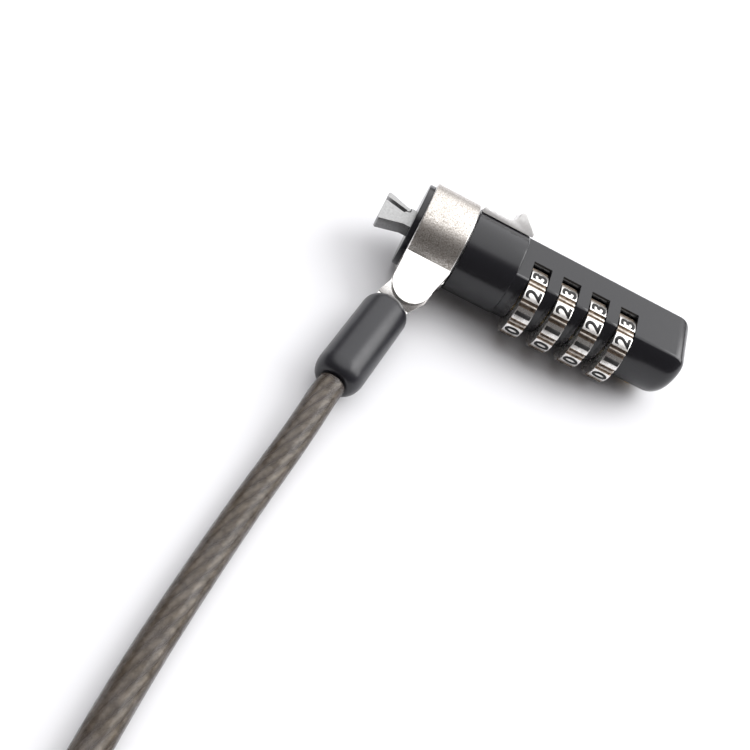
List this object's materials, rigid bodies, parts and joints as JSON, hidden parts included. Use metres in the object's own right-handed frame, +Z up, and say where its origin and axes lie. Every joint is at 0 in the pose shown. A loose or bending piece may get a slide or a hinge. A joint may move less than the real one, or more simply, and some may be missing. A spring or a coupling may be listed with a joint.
{
  "type": "laptop cable lock",
  "caption": "Combination cable lock for a laptop: round lock head with number dials, ribbed slide, flared anchor and swivel collar on a sheathed steel cable with an end loop.",
  "frame": {"origin": "middle of the lock head's bounding box in plan, on the surface it lies on", "axes": "+X from the anchor to the rear end of the lock along its axis, -Y towards the cable, +Z up from the surface"},
  "size_m": [0.0716, 0.1791, 0.0208],
  "materials": {
    "gloss_black": "smooth gloss black",
    "satin_nickel": "satin nickel plate, polished on the ear",
    "bright_steel": "bright steel",
    "die_cast_zinc": "grey die-cast zinc",
    "brass": "turned brass",
    "aluminium": "plain pressed aluminium",
    "smoked_vinyl": "clear smoked vinyl over twisted steel rope"
  },
  "bodies": {
    "cable": {"cable_terminal": "bright_steel", "crimp_ferrule": "aluminium", "cable_boot": "gloss_black", "cable_run": "smoked_vinyl", "cable_coil": "smoked_vinyl", "cable_tail": "smoked_vinyl", "end_loop": "smoked_vinyl", "loop_ferrule": "aluminium"},
    "collar": {"swivel_collar": "satin_nickel", "ear_rivet": "bright_steel"},
    "lock_body": {"upper_housing": "gloss_black", "lower_housing": "gloss_black", "nose_disc": "gloss_black", "core_block": "die_cast_zinc", "fixed_anchor": "bright_steel", "detent_spring": "bright_steel", "housing_screw_1": "bright_steel", "housing_screw_2": "bright_steel", "return_spring": "bright_steel"},
    "jaw": {"moving_jaw": "bright_steel"},
    "slide": {"thumb_slider": "satin_nickel", "slide_yoke": "die_cast_zinc", "draw_bar": "bright_steel", "spindle": "bright_steel"},
    "dial_wheel_1": {"dial_1": "satin_nickel", "clutch_sleeve_1": "brass"},
    "dial_wheel_2": {"dial_2": "satin_nickel", "clutch_sleeve_2": "brass"},
    "dial_wheel_3": {"dial_3": "satin_nickel", "clutch_sleeve_3": "brass"},
    "dial_wheel_4": {"dial_4": "satin_nickel", "clutch_sleeve_4": "brass"},
    "reset": {"reset_selector": "brass"}
  },
  "joints": [
    {"name": "ear_swing", "type": "hinge", "parent": "cable", "child": "collar", "pos_m": [-0.0201, -0.00974, 0.00869], "axis": [0, -0.4226, 0.9063], "range_deg": [-34, 34]},
    {"name": "collar_turn", "type": "hinge", "parent": "collar", "child": "lock_body", "pos_m": [-0.01915, 0.00323, 0.0087], "axis": [1, 0, 0], "continuous": true},
    {"name": "slide_push", "type": "slide", "parent": "lock_body", "child": "slide", "axis": [1, 0, 0], "range_m": [0, 0.0035], "stiffness_N_per_m": 800, "springref_m": -0.002, "deforming": ["return_spring"]},
    {"name": "jaw_close", "type": "hinge", "parent": "lock_body", "child": "jaw", "pos_m": [-0.0266, 0.00488, 0.0087], "axis": [0, 0, 1], "range_deg": [0, 9]},
    {"name": "dial_turn_1", "type": "hinge", "parent": "lock_body", "child": "dial_wheel_1", "pos_m": [-0.0003, -0.00112, 0.0081], "axis": [1, 0, 0], "continuous": true},
    {"name": "dial_turn_2", "type": "hinge", "parent": "lock_body", "child": "dial_wheel_2", "pos_m": [0.0057, -0.00112, 0.0081], "axis": [1, 0, 0], "continuous": true},
    {"name": "dial_turn_3", "type": "hinge", "parent": "lock_body", "child": "dial_wheel_3", "pos_m": [0.0117, -0.00112, 0.0081], "axis": [1, 0, 0], "continuous": true},
    {"name": "dial_turn_4", "type": "hinge", "parent": "lock_body", "child": "dial_wheel_4", "pos_m": [0.0177, -0.00112, 0.0081], "axis": [1, 0, 0], "continuous": true},
    {"name": "reset_turn", "type": "hinge", "parent": "lock_body", "child": "reset", "pos_m": [0.0262, 0.00203, 0.0027], "axis": [0, 0, 1], "range_deg": [0, 90]}
  ],
  "couplings": [
    {"joint": "jaw_close", "follows": "slide_push", "rad_per_m": 44.87}
  ]
}
